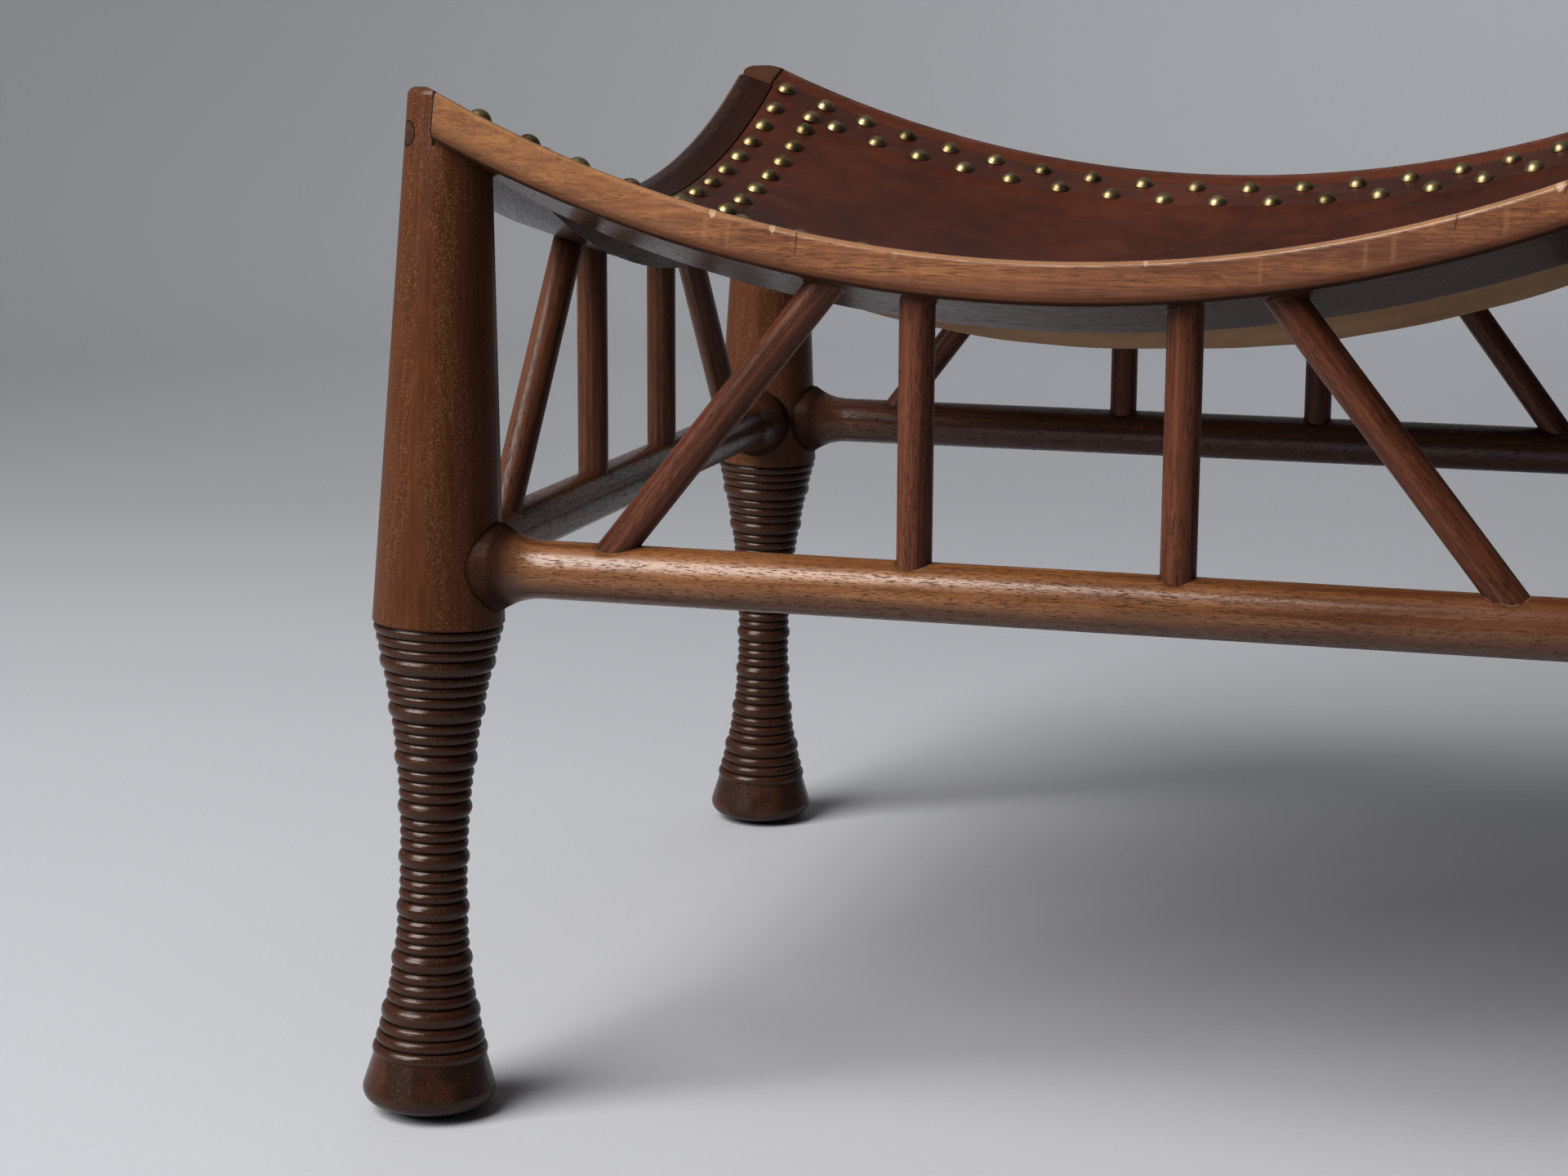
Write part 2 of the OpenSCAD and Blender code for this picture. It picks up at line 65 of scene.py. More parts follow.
# Leather, and the nails' rows and spaces
MARGIN, REBATE, LEATHER_T = 0.0176, 0.0016, 0.0026
OUTER_ROW, INNER_ROW = 0.0238, 0.04104
SPACES = {"front": 20, "back": 19, "left": 19, "right": 19}
NAIL_SPREAD = 0.12

# Sizes worked out from them
SLOPE = math.tan(CANT)
RAIL_IN = RAIL_W * math.cos(CANT)
INNER_X, INNER_Y = HALF_W - RAIL_IN, HALF_D - RAIL_IN
LEG_X = HALF_W - POST_INSET + HORN_H * math.tan(SPLAY_X)
LEG_Y = HALF_D - POST_INSET + HORN_H * math.tan(SPLAY_Y)
STRETCH_X = LEG_X - STRETCHER_H * math.tan(SPLAY_X)
STRETCH_Y = LEG_Y - STRETCHER_H * math.tan(SPLAY_Y)
POST_TAPER = (POST_LOW_R - POST_TOP_R) / (HORN_H - POST_LOW_H)

SIDES = ("back", "left", "front", "right")
LONG_SIDES = ("back", "front")
SIGN_OF = {"back": 1, "left": -1, "front": -1, "right": 1}
HALF_OF = {side: HALF_W if side in LONG_SIDES else HALF_D for side in SIDES}
ACROSS_OF = {side: HALF_D if side in LONG_SIDES else HALF_W for side in SIDES}
CORNERS = {"front_left": (-1, -1), "front_right": (1, -1), "back_left": (-1, 1), "back_right": (1, 1)}
SPINDLES = (1, 2, 3, 4)


def arc_r(side):
    """Radius of a rail's dished top, through its middle and its corners."""
    rise = CORNER_H - MID_H[side]
    return ((HALF_OF[side] - CORNER_IN) ** 2 + rise**2) / (2 * rise)


ARC_R = {side: arc_r(side) for side in SIDES}
ARC_C = {side: MID_H[side] + ARC_R[side] for side in SIDES}


def top_h(side, along, inward, lift=0.0):
    """Height of a rail's dished top at a place along it and inwards from its outer edge."""
    r = ARC_R[side] + inward * SLOPE - lift / math.cos(CANT)
    return ARC_C[side] - np.sqrt(r * r - along * along)


def on_side(side, along, out, h=0.0):
    """A place along a side and out from the middle, as x, y and z."""
    across_at = SIGN_OF[side] * out
    return (along, across_at, h) if side in LONG_SIDES else (across_at, along, h)


def leg_point(sx, sy, h):
    """A point on the axis of the leg whose x and y have these signs."""
    return Vector((sx * (LEG_X - h * math.tan(SPLAY_X)), sy * (LEG_Y - h * math.tan(SPLAY_Y)), h))


def leg_axis(sx, sy):
    """Direction of a leg's axis, upwards."""
    return (leg_point(sx, sy, HORN_H) - leg_point(sx, sy, 0.0)).normalized()


def spindle_line(side, k):
    """Foot of a side's spindle k, and the way from there to its head."""
    long_side = side in LONG_SIDES
    sign = -1 if (k in (1, 2)) == long_side else 1
    upright, foot, head = (
        (UPRIGHT_X, SLANT_FOOT_X, SLANT_HEAD_X) if long_side else (UPRIGHT_Y, SLANT_FOOT_Y, SLANT_HEAD_Y)
    )
    if k in (2, 3):
        foot = head = upright
    out = STRETCH_Y if long_side else STRETCH_X
    rise = float(top_h(side, head, ACROSS_OF[side] - out, -RAIL_T)) - STRETCHER_H
    way = Vector(on_side(side, sign * (head - foot), 0.0, rise))
    return Vector(on_side(side, sign * foot, out, STRETCHER_H)), way


# Camera, fitted to the photograph
CAMERA_AT = (0.1948, -1.1982, 0.4005)
CAMERA_YAW, CAMERA_PITCH, CAMERA_ROLL = 0.2813, 0.1904, 0.0049
LENS_MM, SENSOR_MM = 69.53, 36.0
CLIP_START, CLIP_END = 0.01, 50.0


def make_camera():
    """The photograph's camera, from its place and its turns in radians."""
    level = Vector((-math.sin(CAMERA_YAW), math.cos(CAMERA_YAW), 0.0))
    forward = level * math.cos(CAMERA_PITCH) - Vector((0.0, 0.0, math.sin(CAMERA_PITCH)))
    right = Vector((math.cos(CAMERA_YAW), math.sin(CAMERA_YAW), 0.0))
    up = right.cross(forward)
    right_rolled = math.cos(CAMERA_ROLL) * right + math.sin(CAMERA_ROLL) * up
    up_rolled = -math.sin(CAMERA_ROLL) * right + math.cos(CAMERA_ROLL) * up
    data = bpy.data.cameras.new("camera")
    data.lens, data.sensor_width = LENS_MM, SENSOR_MM
    data.clip_start, data.clip_end = CLIP_START, CLIP_END
    camera = bpy.data.objects.new("camera", data)
    turn = Matrix((right_rolled, up_rolled, -forward)).transposed().to_4x4()
    camera.matrix_world = Matrix.Translation(CAMERA_AT) @ turn
    scene.collection.objects.link(camera)
    scene.camera = camera


class Shader:
    """A short way to write a material's node tree."""

    def __init__(self, name):
        self.material = bpy.data.materials.new(name)
        self.material.use_nodes = True
        tree = self.material.node_tree
        self.nodes, self.links = tree.nodes, tree.links
        self.nodes.clear()
        out = self.nodes.new("ShaderNodeOutputMaterial")
        self.bsdf = self.nodes.new("ShaderNodeBsdfPrincipled")
        self.links.new(self.bsdf.outputs[0], out.inputs["Surface"])
        self.place = self.nodes.new("ShaderNodeTexCoord").outputs["Object"]

    def put(self, socket, value):
        """Link a socket to another one, or set its value."""
        if isinstance(value, bpy.types.NodeSocket):
            self.links.new(value, socket)
        elif socket.type == "RGBA":
            socket.default_value = (*value, 1.0)
        else:
            socket.default_value = value

    def calc(self, operation, a, b=0.0, clamp=False):
        node = self.nodes.new("ShaderNodeMath")
        node.operation, node.use_clamp = operation, clamp
        self.put(node.inputs[0], a)
        self.put(node.inputs[1], b)
        return node.outputs[0]

    def add(self, a, b):
        return self.calc("ADD", a, b)

    def sub(self, a, b):
        return self.calc("SUBTRACT", a, b)

    def mul(self, a, b):
        return self.calc("MULTIPLY", a, b)

    def size_of(self, value):
        """The value without its sign."""
        return self.calc("ABSOLUTE", value)

    def vary(self, field, amount):
        """A field about one half as a small shift about zero."""
        return self.mul(self.sub(field, 0.5), amount)

    def most(self, masks):
        """The greatest of several masks."""
        return functools.reduce(lambda a, b: self.calc("MAXIMUM", a, b), masks)

    def vector(self, operation, a, b=(0.0, 0.0, 0.0)):
        node = self.nodes.new("ShaderNodeVectorMath")
        node.operation = operation
        self.put(node.inputs[0], a)
        self.put(node.inputs[1], b)
        gives_number = operation in ("DOT_PRODUCT", "LENGTH")
        return node.outputs["Value" if gives_number else "Vector"]

    def toward(self, way):
        """How far the shaded place lies in a direction."""
        return self.vector("DOT_PRODUCT", self.place, tuple(way))

    def off_line(self, point, way):
        """Distance of the shaded place from a line."""
        arm = self.vector("SUBTRACT", self.place, tuple(point))
        return self.vector("LENGTH", self.vector("CROSS_PRODUCT", arm, tuple(way.normalized())))

    def combine(self, x, y, z):
        node = self.nodes.new("ShaderNodeCombineXYZ")
        for socket, value in zip(node.inputs, (x, y, z)):
            self.put(socket, value)
        return node.outputs[0]

    def split(self, vector):
        node = self.nodes.new("ShaderNodeSeparateXYZ")
        self.put(node.inputs[0], vector)
        return node.outputs

    def noise(self, vector, scale, detail, roughness=0.5, colour=False):
        node = self.nodes.new("ShaderNodeTexNoise")
        self.put(node.inputs["Vector"], vector)
        self.put(node.inputs["Scale"], scale)
        self.put(node.inputs["Detail"], detail)
        self.put(node.inputs["Roughness"], roughness)
        return node.outputs[1 if colour else 0]

    def cells(self, vector, scale):
        """Distance from the nearest of many scattered points."""
        node = self.nodes.new("ShaderNodeTexVoronoi")
        self.put(node.inputs["Vector"], vector)
        self.put(node.inputs["Scale"], scale)
        return node.outputs["Distance"]

    def step(self, value, low, high):
        """0 at low, 1 at high, and a smooth turn between them."""
        node = self.nodes.new("ShaderNodeMapRange")
        node.interpolation_type = "SMOOTHSTEP"
        self.put(node.inputs["Value"], value)
        self.put(node.inputs["From Min"], low)
        self.put(node.inputs["From Max"], high)
        return node.outputs["Result"]

    def line_mark(self, value, middle, half_width, blur):
        """1 where value is within half_width of middle."""
        return self.step(self.size_of(self.sub(value, middle)), half_width + blur, half_width)

    def ramp(self, value, stops):
        node = self.nodes.new("ShaderNodeValToRGB")
        self.put(node.inputs[0], value)
        elements = node.color_ramp.elements
        while len(elements) < len(stops):
            elements.new(0.5)
        for element, (place, tone) in zip(elements, stops):
            element.position = place
            element.color = (*tone, 1.0)
        return node.outputs[0]

    def tint(self, colour, mask, amount, tone):
        """The colour, drawn towards tone by amount where mask is 1."""
        node = self.nodes.new("ShaderNodeMix")
        node.data_type = "RGBA"
        self.put(node.inputs[0], self.mul(mask, amount))
        self.put(node.inputs[6], colour)
        self.put(node.inputs[7], tone)
        return node.outputs[2]

    def crevice(self, distance):
        """1 in narrow gaps and 0 in the open."""
        node = self.nodes.new("ShaderNodeAmbientOcclusion")
        node.samples = 6
        self.put(node.inputs["Distance"], distance)
        return self.calc("SUBTRACT", 1.0, node.outputs["AO"], clamp=True)

    def rounded(self, radius):
        """Normals that run softly over edges, as sanding and wax leave them."""
        node = self.nodes.new("ShaderNodeBevel")
        node.samples = 8
        self.put(node.inputs["Radius"], radius)
        return node.outputs[0]

    def bump(self, height, distance, strength, normal=None):
        node = self.nodes.new("ShaderNodeBump")
        self.put(node.inputs["Height"], height)
        self.put(node.inputs["Distance"], distance)
        self.put(node.inputs["Strength"], strength)
        if normal is not None:
            self.put(node.inputs["Normal"], normal)
        return node.outputs[0]

    def finish(self, colour, rough, normal, **fixed):
        """Give the surface its look and its fixed values."""
        self.put(self.bsdf.inputs["Base Color"], colour)
        self.put(self.bsdf.inputs["Roughness"], rough)
        self.put(self.bsdf.inputs["Normal"], normal)
        for name, value in fixed.items():
            self.put(self.bsdf.inputs[name.replace("_", " ")], value)
        return self.material


class Look:
    """Colour, roughness, height and sheen of a surface, to which marks are added in turn."""

    def __init__(self, s, colour, rough, height):
        self.s = s
        self.colour, self.rough, self.height, self.sheen = colour, rough, height, 1.0

    def mark(self, mask, tone=None, tint=0.0, rough=0.0, height=0.0, sheen=0.0):
        """Where mask is 1, the colour nears tone by tint, and the other values shift."""
        if tone is not None:
            self.colour = self.s.tint(self.colour, mask, tint, tone)
        self.rough = self.shifted(self.rough, mask, rough)
        self.height = self.shifted(self.height, mask, height)
        self.sheen = self.shifted(self.sheen, mask, sheen)

    def shifted(self, value, mask, amount):
        return self.s.add(value, self.s.mul(mask, amount)) if amount else value


# Dark, middle and light tone of each wood. The front rail's lighter tone, and the darker tones of the left
# rail, the left spindles and the back, left and right stretchers, are painted light and shade: lit and
# shaded copies of one wood
TONES = {
    "leg": ((0.062, 0.020, 0.007), (0.100, 0.033, 0.011), (0.146, 0.052, 0.017)),
    "stretcher": ((0.110, 0.040, 0.014), (0.205, 0.084, 0.029), (0.300, 0.135, 0.052)),
    "shaded_stretcher": ((0.050, 0.016, 0.006), (0.095, 0.031, 0.012), (0.140, 0.050, 0.020)),
    "lit_front_rail": ((0.130, 0.043, 0.016), (0.250, 0.095, 0.033), (0.390, 0.174, 0.062)),
    "rail": ((0.070, 0.020, 0.009), (0.140, 0.041, 0.018), (0.205, 0.070, 0.032)),
    "shaded_left_rail": ((0.024, 0.008, 0.004), (0.046, 0.015, 0.008), (0.074, 0.026, 0.013)),
    "spindle": ((0.058, 0.018, 0.009), (0.120, 0.040, 0.020), (0.178, 0.066, 0.036)),
    "shaded_left_spindle": ((0.045, 0.016, 0.008), (0.090, 0.033, 0.016), (0.138, 0.055, 0.029)),
    "peg": ((0.048, 0.018, 0.008), (0.074, 0.028, 0.012), (0.105, 0.041, 0.018)),
}
TONE_MIDDLE = 0.51
# The dark tone of the joints' lines, also laid as painted shade in crevices, and how far that crevice shade
# reaches
GRIME_AND_SHADE, CREVICE_SHADE_REACH = (0.006, 0.003, 0.002), 0.004
WAX = (0.42, 0.34, 0.27)
COAT_ROUGHNESS, COAT_IOR = 0.16, 1.5
GRAIN_BUMP = 0.00010

# Noises of the grain: cycles per metre across it and along it, and detail
STREAK, FINE, BROAD = (760.0, 22.0, 3.0), (2200.0, 130.0, 2.0), (90.0, 7.0, 2.0)
BLOTCH, CROSS, WANDER = (18.0, 9.0, 2.0), (14.0, 210.0, 1.0), (22.0, 9.0, 2.0)
CROWD, PORES_ACROSS = (150.0, 18.0, 1.0), 2600.0
PORE_SPAN, CROWD_BLUR = (0.57, 0.65), 0.24
STREAK_SHARE, BROAD_SHARE, BLOTCH_SHARE, FINE_SHARE = 0.55, 0.45, 0.30, 0.34
WANDER_BY = 0.006

# A joint's line is drawn this far outside the piece that sits in it
LINE_OUT = 0.0002


def across(axis):
    """Two directions square to axis."""
    helper = Vector((0.31, 0.27, 0.91)) if abs(axis.z) < 0.8 else Vector((0.2, 1.0, 0.1))
    side = axis.cross(helper).normalized()
    return side, axis.cross(side).normalized()


def drawn_noise(s, place, across_scale, along_scale, detail):
    """Noise drawn out along the third direction of place."""
    drawn = s.vector("MULTIPLY", place, (across_scale, across_scale, along_scale))
    return s.noise(drawn, 1.0, detail, 0.6)


class Grain:
    """Streaks, growth rings and pores of a stick whose grain follows axis."""

    def __init__(self, s, axis, seed, pith, ring, sway, pore_scale, crowding):
        a, b = across(axis)
        rng = random.Random(seed)
        self.local = s.combine(*[s.add(s.toward(d), rng.uniform(-3.0, 3.0)) for d in (a, b, axis)])
        swaying = s.noise(s.vector("MULTIPLY", self.local, (9.0, 9.0, 3.0)), 1.0, 1.0, colour=True)
        swaying = s.vector("SUBTRACT", swaying, (0.5, 0.5, 0.5))
        bent = s.vector("ADD", self.local, s.vector("MULTIPLY", swaying, (sway, sway, 0.0)))
        self.streak = drawn_noise(s, bent, *STREAK)
        self.fine = drawn_noise(s, bent, *FINE)
        self.broad = drawn_noise(s, bent, *BROAD)
        self.blotch = drawn_noise(s, self.local, *BLOTCH)
        self.cross = drawn_noise(s, self.local, *CROSS)
        wander = s.vary(drawn_noise(s, self.local, *WANDER), WANDER_BY)
        wave = s.calc("SINE", s.mul(s.add(s.off_line(pith, axis), wander), 2 * math.pi / ring))
        self.rings = s.calc("POWER", s.add(s.mul(wave, 0.5), 0.5), 3.0)
        pore = drawn_noise(s, bent, PORES_ACROSS, pore_scale, 1.0)
        crowd = drawn_noise(s, bent, *CROWD)
        self.pores = s.mul(s.step(pore, *PORE_SPAN), s.step(crowd, crowding, crowding + CROWD_BLUR))

    def tone(self, s, ring_share, cross_share):
        """How light the wood is, about one half."""
        tone = s.add(s.mul(self.streak, STREAK_SHARE), s.mul(self.broad, BROAD_SHARE))
        tone = s.add(tone, s.vary(self.rings, ring_share))
        tone = s.add(tone, s.vary(self.blotch, BLOTCH_SHARE))
        tone = s.add(tone, s.vary(self.fine, FINE_SHARE))
        return s.add(tone, s.vary(self.cross, cross_share))


def knocks(s, place):
    """1 in shallow, scattered dents."""
    return s.mul(s.step(s.cells(place, 52.0), 0.15, 0.03), s.step(s.noise(place, 19.0, 1.0), 0.56, 0.68))


def wood(
    name, axis, seed, tones,
    pith=(0.0, 0.0, 0.0), ring=0.0031, ring_share=0.10, cross_share=0.06, sway=0.016, spread=0.36,
    pore_scale=200.0, crowding=0.32, pore_tone=None, pore_mix=0.70,
    gloss=0.30, shine=0.28, coat=0.05, softened=None, marks=None,
):
    """Polished wood. A marks function adds what one kind of piece has beyond its grain."""
    s = Shader(name)
    grain = Grain(s, Vector(axis).normalized(), seed, pith, ring, sway, pore_scale, crowding)
    dark, middle, light = TONES[tones]
    stops = ((TONE_MIDDLE - spread / 2, dark), (TONE_MIDDLE, middle), (TONE_MIDDLE + spread / 2, light))
    look = Look(s, s.ramp(grain.tone(s, ring_share, cross_share), stops), gloss, s.mul(grain.streak, 0.16))
    look.mark(grain.pores, pore_tone or [0.30 * c for c in dark], pore_mix, rough=0.22, height=-0.60)
    # Painted shade: darker in crevices and where parts meet
    look.mark(s.step(s.crevice(CREVICE_SHADE_REACH), 0.42, 0.95), GRIME_AND_SHADE, 0.80)
    look.mark(s.sub(grain.streak, 0.5), rough=0.22)
    look.mark(s.sub(grain.blotch, 0.5), rough=0.16)
    look.mark(knocks(s, grain.local), height=-2.0)
    look.mark(s.noise(grain.local, 48.0, 1.0), height=1.2)
    if marks:
        marks(s, grain, look)
    normal = s.bump(look.height, GRAIN_BUMP, 0.8, s.rounded(softened) if softened else None)
    s.finish(
        look.colour, look.rough, normal,
        Specular_IOR_Level=shine, Coat_Weight=coat, Coat_Roughness=COAT_ROUGHNESS, Coat_IOR=COAT_IOR,
    )
    if marks:
        s.put(s.bsdf.inputs["Specular IOR Level"], s.mul(look.sheen, shine))
    if marks and coat:
        s.put(s.bsdf.inputs["Coat Weight"], s.mul(look.sheen, coat))
    return s.material


# A line's half width and its blur
PEG_LINE, FLARE_LINE, HORN_LINE = (0.00030, 0.00022), (0.0001, 0.0003), (0.00055, 0.0002)
POST_LINE, WAX_LINE, CRACK_LINE = (0.0005, 0.0006), (0.00015, 0.00025), (0.00012, 0.00018)

# Legs: tones, one of them the grooves' painted shade, the foot's top, how far the horn's joint reaches down,
# and the reach of the grooves' painted shade
TURNED_TONE, GROOVE_SHADE_TONE = (0.036, 0.0125, 0.0065), (0.003, 0.002, 0.002)
FOOT_DARK, FOOT_PALE = (0.030, 0.014, 0.0085), (0.070, 0.0265, 0.0130)
FOOT_TOP_H, HORN_DEPTH, GROOVE_SHADE_REACH = 0.0212, 0.0200, 0.0040
FOOT_BLUR, POST_BLUR, HORN_BLUR = 0.0010, 0.0004, 0.0005
# The peg's ring and the flares' rings fade in over these spans, outwards and inwards from their middles
PEG_SPAN, INSIDE_SPAN = (0.0, 0.002), (0.0, -0.001)


def peg_ring(s, sx, sy):
    """1 on the line round the peg, on the leg's outer corner only."""
    side = "front" if sy < 0 else "back"
    peg_h = float(top_h(side, HALF_W - NOTCH_INSET, NOTCH_INSET)) + NOTCH_INSET * SLOPE - PEG_DROP
    middle, way = leg_point(sx, sy, peg_h), Vector((sx, sy, 0.0))
    radius = s.add(s.off_line(middle, way), s.vary(s.noise(s.place, 900.0, 1.0), 0.0003))
    outside = s.step(s.sub(s.toward(way), middle.dot(way)), *PEG_SPAN)
    return s.mul(s.line_mark(radius, PEG_R + LINE_OUT, *PEG_LINE), outside)


def flare_rings(s, sx, sy):
    """1 on the lines round the two stretchers' flares, on the leg's inner sides only."""
    middle = leg_point(sx, sy, STRETCHER_H)
    rings = []
    for way in (Vector((sx, 0.0, 0.0)), Vector((0.0, sy, 0.0))):
        ring = s.line_mark(s.off_line(middle, way), FLARE_R + LINE_OUT, *FLARE_LINE)
        inside = s.step(s.sub(s.toward(way), middle.dot(way)), *INSIDE_SPAN)
        rings.append(s.mul(ring, inside))
    return s.most(rings)


def horn_gap(s, sx):
    """1 on the open joint between a horn and the rail that ends in it."""
    x, _, z = s.split(s.place)
    gap = s.line_mark(s.mul(x, sx), HALF_W - NOTCH_INSET + LINE_OUT, *HORN_LINE)
    low = HORN_H - HORN_DEPTH
    return s.mul(gap, s.step(z, low - HORN_BLUR, low + HORN_BLUR))


def leg_marks(sx, sy):
    """Darker and glossier wood with painted shade in the grooves below the post, a patchy foot, and the
    joints' lines.
    """
    axis = leg_axis(sx, sy)
    start = leg_point(sx, sy, 0.0).dot(axis)

    def marks(s, grain, look):
        h = s.sub(s.toward(axis), start)
        turned = s.step(h, POST_LOW_H + POST_BLUR, POST_LOW_H - POST_BLUR)
        foot = s.step(h, FOOT_TOP_H + FOOT_BLUR, FOOT_TOP_H)
        patch = s.step(s.noise(s.place, 75.0, 3.0), 0.40, 0.62)
        post_line = s.line_mark(h, POST_LOW_H, *POST_LINE)
        grooves = s.most([s.step(s.crevice(GROOVE_SHADE_REACH), 0.20, 0.52), post_line])
        joints = s.most([horn_gap(s, sx), peg_ring(s, sx, sy), s.mul(flare_rings(s, sx, sy), 0.45)])
        look.sheen = 0.7
        look.mark(turned, TURNED_TONE, 0.76, rough=-0.09, sheen=0.32)
        look.mark(foot, s.ramp(patch, ((0.0, FOOT_DARK), (1.0, FOOT_PALE))), 0.72)
        # Painted shade in the grooves between the beads
        look.mark(s.mul(grooves, turned), GROOVE_SHADE_TONE, 0.96, sheen=-0.4)
        look.mark(joints, GRIME_AND_SHADE, 0.85, rough=0.4, height=-2.5, sheen=-0.5)

    return marks


def wax_rings(s, side):
    """1 in the thin fillets of old wax and glue round the spindles' ends."""
    uneven = s.vary(s.noise(s.place, 700.0, 2.0), 0.0007)
    reaches = [s.add(s.off_line(*spindle_line(side, k)), uneven) for k in SPINDLES]
    rings = s.most([s.line_mark(reach, SPINDLE_R + LINE_OUT, *WAX_LINE) for reach in reaches])
    return s.mul(rings, s.step(s.noise(s.place, 260.0, 1.0), 0.36, 0.56))


# Stretchers: tones of painted shade, one of them a painted falloff of light, and the flares' length
LOW_SHADE_TONE, RIGHT_FALLOFF_SHADE = (0.056, 0.020, 0.009), (0.085, 0.027, 0.012)
FLARE_SHADE_TONE, RIM_SHADE_TONE = (0.062, 0.022, 0.010), (0.034, 0.013, 0.007)
FLARE_LENGTH, FLARE_BLUR = 0.050, 0.005
# A mark goes from none to full over its span. Low, a painted shade, and wax: height over the axis. Right, a
# painted falloff of light: place along x
LOW_SHADE_SPAN, WAX_SPAN, RIGHT_FALLOFF_SPAN = (0.0010, -0.0080), (0.004, 0.007), (0.02, 0.17)
# Flare: radius beyond the plain length's. Fade and rim, both painted shade, and line: distance from the post
FLARE_SPAN = (0.0004, 0.0034)
FADE_SPAN, RIM_SPAN, LINE_SPAN = (0.0190, 0.0080), (0.0090, 0.0045), (0.0006, 0.0002)


def mark_flares(s, look, side):
    """Painted shade and duller wood where a stretcher swells, darkest beside the posts, with a faint line
    there.
    """
    x, y, z = s.split(s.place)
    along, half, out = (x, STRETCH_X, STRETCH_Y) if side in LONG_SIDES else (y, STRETCH_Y, STRETCH_X)
    patchy = s.vary(s.noise(s.place, 330.0, 3.0), 0.0022)
    radius = s.off_line(on_side(side, 0.0, out, STRETCHER_H), Vector(on_side(side, 1.0, 0.0)))
    flare = s.step(s.sub(s.add(radius, patchy), STRETCHER_R), *FLARE_SPAN)
    # Painted shade on the flare
    look.mark(flare, FLARE_SHADE_TONE, 0.88, rough=0.12, sheen=-0.30)
    flare_start = half - FLARE_LENGTH
    near_end = s.step(s.size_of(along), flare_start, flare_start + FLARE_BLUR)
    post_r = s.sub(POST_LOW_R + POST_TAPER * POST_LOW_H, s.mul(z, POST_TAPER))
    for end in (-1, 1):
        sx, sy = (end, SIGN_OF[side]) if side in LONG_SIDES else (SIGN_OF[side], end)
        off_post = s.sub(s.off_line(leg_point(sx, sy, 0.0), leg_axis(sx, sy)), post_r)
        fade = s.mul(s.step(s.add(off_post, s.mul(patchy, 2.0)), *FADE_SPAN), near_end)
        rim = s.mul(s.step(off_post, *RIM_SPAN), near_end)
        line = s.mul(s.step(off_post, *LINE_SPAN), near_end)
        # Painted shade near the post, darkest on the rim, where the light would catch it
        look.mark(fade, FLARE_SHADE_TONE, 0.55)
        look.mark(rim, RIM_SHADE_TONE, 0.85, rough=0.30, sheen=-0.52)
        look.mark(line, GRIME_AND_SHADE, 0.30)


def stretcher_marks(side):
    """Painted shade on the lower half, a painted falloff of light towards the front one's right end, wax
    round the spindles' feet, and painted shade on the flares.
    """

    def marks(s, grain, look):
        x, _, z = s.split(s.place)
        over_axis = s.sub(z, STRETCHER_H)
        look.mark(grain.pores, sheen=-0.65)
        # Painted shade on the lower half
        look.mark(s.step(over_axis, *LOW_SHADE_SPAN), LOW_SHADE_TONE, 0.62)
        # Painted falloff of light: the front stretcher darker towards its right end
        if side == "front":
            look.mark(s.step(x, *RIGHT_FALLOFF_SPAN), RIGHT_FALLOFF_SHADE, 0.55)
        look.mark(s.mul(wax_rings(s, side), s.step(over_axis, *WAX_SPAN)), WAX, 0.36, height=1.5)
        mark_flares(s, look, side)

    return marks


def arc_place(s, side):
    """Place along a rail, depth under its top and width inwards, measured on its own arc."""
    x, y, z = s.split(s.place)
    along, out = (x, y) if side in LONG_SIDES else (y, x)
    inward = s.sub(ACROSS_OF[side], s.mul(out, SIGN_OF[side]))
    up = s.sub(ARC_C[side], z)
    radius = s.calc("SQRT", s.add(s.mul(along, along), s.mul(up, up)))
    rise = s.sub(radius, ARC_R[side])
    depth = s.sub(s.mul(rise, math.cos(CANT)), s.mul(inward, math.sin(CANT)))
    width = s.add(s.mul(rise, math.sin(CANT)), s.mul(inward, math.cos(CANT)))
    return along, depth, width


# Marks on the front rail, each by its place along it
# A chip has a size too, a crack its lean and length, and a rub its width
CHIPS = ((-0.1148, 0.0011), (-0.0936, 0.0010), (0.1626, 0.0013), (0.0330, 0.0007))
CRACKS = ((-0.0847, 0.0, 0.010), (0.1320, 0.12, 0.0075), (0.1655, 0.25, 0.006))
RUBS = (
    (-0.1165, 0.0016), (-0.1085, 0.0010), (0.0707, 0.0009),
    (0.1038, 0.0010), (0.1125, 0.0011), (0.1470, 0.0013),
)
CHIP_DEPTH = 0.0012
CRACK_TOP_SPAN, RUB_TOP_SPAN, RUB_LOW_SPAN = (0.0004, 0.0012), (0.0025, 0.0045), (0.0130, 0.0090)
CHIP_TONE, CRACK_TONE, RUB_TONE = (0.60, 0.42, 0.28), (0.030, 0.012, 0.006), (0.50, 0.27, 0.12)

# Rails: where the pale band along the edge, partly wear and partly a painted highlight, is strongest, under
# the top and in from the outer face
WORN_HIGHLIGHT_DEPTH, WORN_HIGHLIGHT_WIDTH = 0.0011, 0.0008
